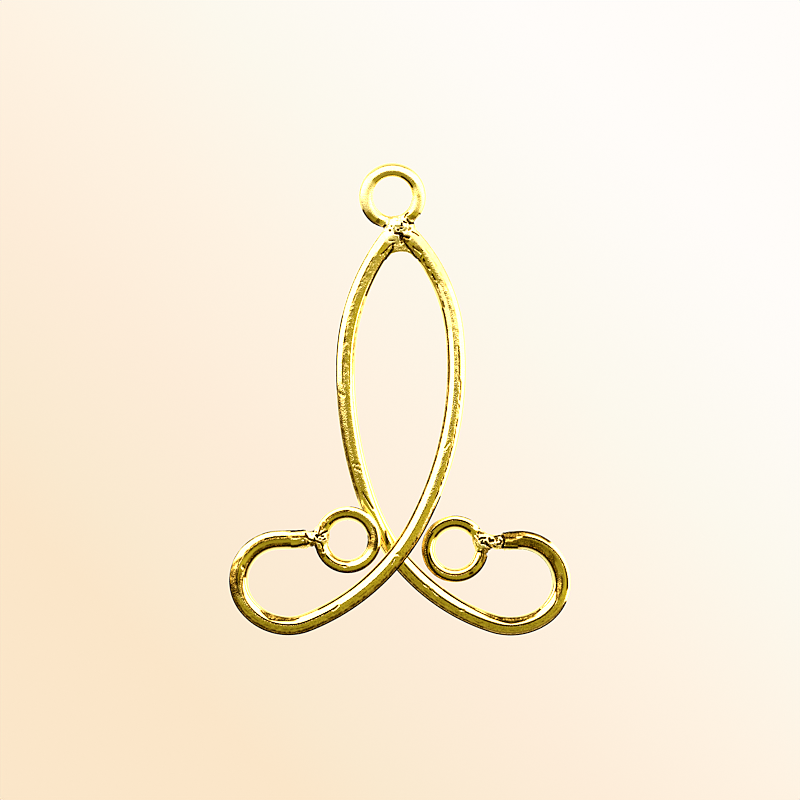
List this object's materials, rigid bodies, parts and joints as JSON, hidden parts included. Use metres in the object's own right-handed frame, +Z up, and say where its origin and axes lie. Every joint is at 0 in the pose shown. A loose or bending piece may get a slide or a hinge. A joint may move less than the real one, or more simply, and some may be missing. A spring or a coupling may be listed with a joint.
{
  "type": "ear wire connector",
  "caption": "Gold-coloured earring connector of round wire: crossed mirrored hooks, soldered at their tips to a hanging eye, each ending in an eye of its own for a drop.",
  "frame": {"origin": "middle of the underside of the box round the whole part, on the surface that it lies on", "axes": "+Y towards the hanging eye, +X towards the eye of the under wire, +Z up out of the surface, on the side where the over wire passes over the under wire"},
  "size_m": [0.018, 0.025, 0.0023],
  "materials": {
    "gold_wire": "polished yellow gold plating, with pitted solder at the joints"
  },
  "bodies": {
    "root": {"connector_frame": "gold_wire"}
  },
  "joints": []
}
